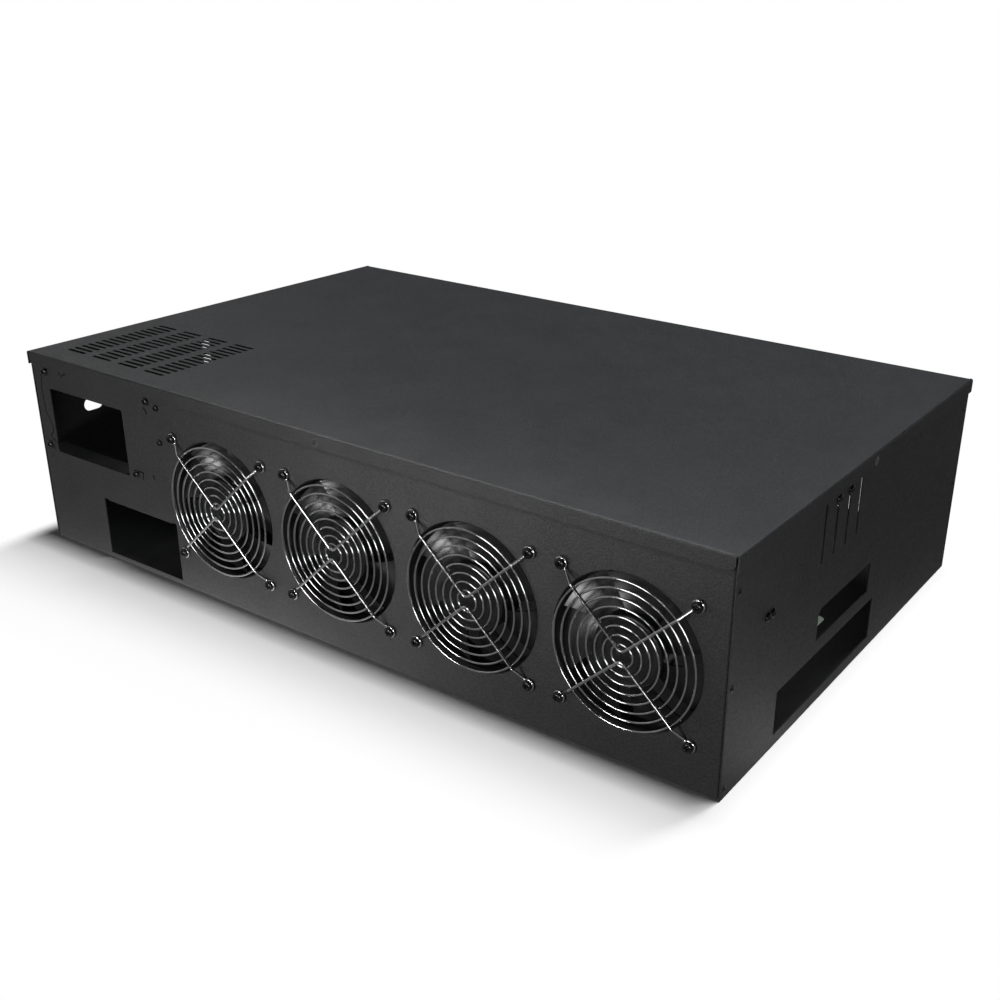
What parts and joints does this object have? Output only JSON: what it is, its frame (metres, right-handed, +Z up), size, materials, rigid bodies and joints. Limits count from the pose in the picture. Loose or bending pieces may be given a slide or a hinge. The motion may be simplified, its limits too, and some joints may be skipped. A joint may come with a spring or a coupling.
{
  "type": "mining rig chassis",
  "caption": "Low closed steel chassis for a mining rig: folded base, riveted side panels, vented folded cover and a row of wire-guarded fans along the front.",
  "frame": {"origin": "middle of the underside of the case", "axes": "+X along the fan wall to the right as seen from the front, +Y from the fan wall to the rear wall, +Z up"},
  "size_m": [0.7164, 0.4503, 0.1822],
  "materials": {
    "black_powder_coat": "fine-grained black powder coat on steel sheet",
    "brass": "turned brass",
    "nickel_screw": "dark nickel plate",
    "black_rivet": "black satin",
    "black_screw": "glossy black oxide",
    "zinc_steel": "bright zinc plate",
    "fan_plastic": "satin black moulding",
    "rotor_plastic": "glossy black moulding",
    "bearing_bronze": "oiled sintered bronze",
    "motor_copper": "enamelled copper wire on a steel core",
    "guard_wire": "bright chrome-plated wire"
  },
  "bodies": {
    "chassis": {"base_tray": "black_powder_coat", "side_panel_left": "black_powder_coat", "side_panel_right": "black_powder_coat", "top_cover": "black_powder_coat", "bay_ledge": "black_powder_coat", "bay_divider": "black_powder_coat", "card_beam": "black_powder_coat", "card_rail": "black_powder_coat", "board_standoffs": "brass", "cover_screws": "nickel_screw", "panel_rivets": "black_rivet", "bay_screws": "black_screw", "divider_screws": "black_screw", "pair_screws": "black_screw", "pair_nuts": "zinc_steel", "beam_screws": "black_screw", "guard_screws": "black_screw", "fan_frame_1": "fan_plastic", "fan_bearing_1": "bearing_bronze", "fan_stator_1": "motor_copper", "fan_guard_1": "guard_wire", "fan_frame_2": "fan_plastic", "fan_bearing_2": "bearing_bronze", "fan_stator_2": "motor_copper", "fan_guard_2": "guard_wire", "fan_frame_3": "fan_plastic", "fan_bearing_3": "bearing_bronze", "fan_stator_3": "motor_copper", "fan_guard_3": "guard_wire", "fan_frame_4": "fan_plastic", "fan_bearing_4": "bearing_bronze", "fan_stator_4": "motor_copper", "fan_guard_4": "guard_wire"},
    "rotor_1": {"fan_rotor_1": "rotor_plastic"},
    "rotor_2": {"fan_rotor_2": "rotor_plastic"},
    "rotor_3": {"fan_rotor_3": "rotor_plastic"},
    "rotor_4": {"fan_rotor_4": "rotor_plastic"}
  },
  "joints": [
    {"name": "fan_spin_1", "type": "hinge", "parent": "chassis", "child": "rotor_1", "pos_m": [-0.1156, -0.2198, 0.0875], "axis": [0, 1, 0], "continuous": true},
    {"name": "fan_spin_2", "type": "hinge", "parent": "chassis", "child": "rotor_2", "pos_m": [0.016, -0.2198, 0.0875], "axis": [0, 1, 0], "continuous": true},
    {"name": "fan_spin_3", "type": "hinge", "parent": "chassis", "child": "rotor_3", "pos_m": [0.1476, -0.2198, 0.0875], "axis": [0, 1, 0], "continuous": true},
    {"name": "fan_spin_4", "type": "hinge", "parent": "chassis", "child": "rotor_4", "pos_m": [0.2792, -0.2198, 0.0875], "axis": [0, 1, 0], "continuous": true}
  ]
}
